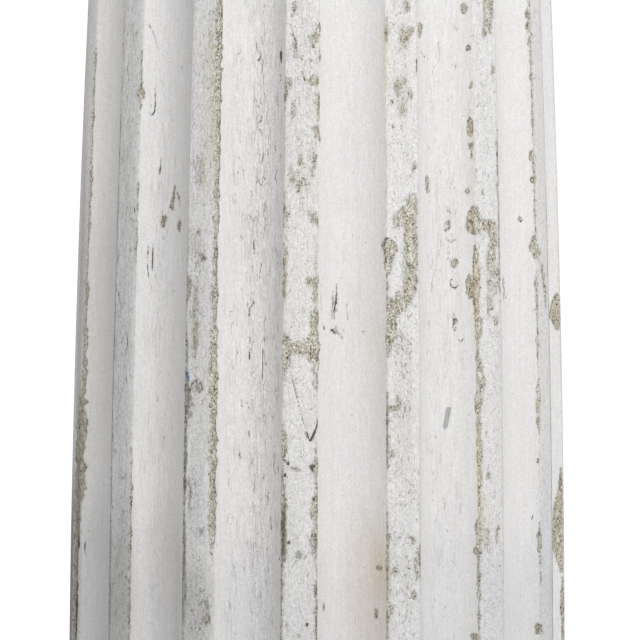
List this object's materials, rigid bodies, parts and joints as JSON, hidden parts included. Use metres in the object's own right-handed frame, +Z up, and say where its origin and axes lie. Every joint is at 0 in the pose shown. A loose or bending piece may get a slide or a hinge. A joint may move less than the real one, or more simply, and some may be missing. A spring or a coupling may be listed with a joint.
{
  "type": "fluted column shaft",
  "caption": "Length of a fluted, tapering timber column shaft in worn off-white paint, cut square at both ends to stand or to be built on.",
  "frame": {"origin": "centre of the sawn underside, on the shaft's axis", "axes": "+Z up along the shaft's axis towards its narrower end, -Y towards the pictured side, +X to the right seen from there"},
  "size_m": [0.36, 0.36, 1],
  "materials": {
    "painted_timber": "old matt off-white paint, flaking along the arrises to bare timber"
  },
  "bodies": {
    "root": {"shaft": "painted_timber"}
  },
  "joints": []
}
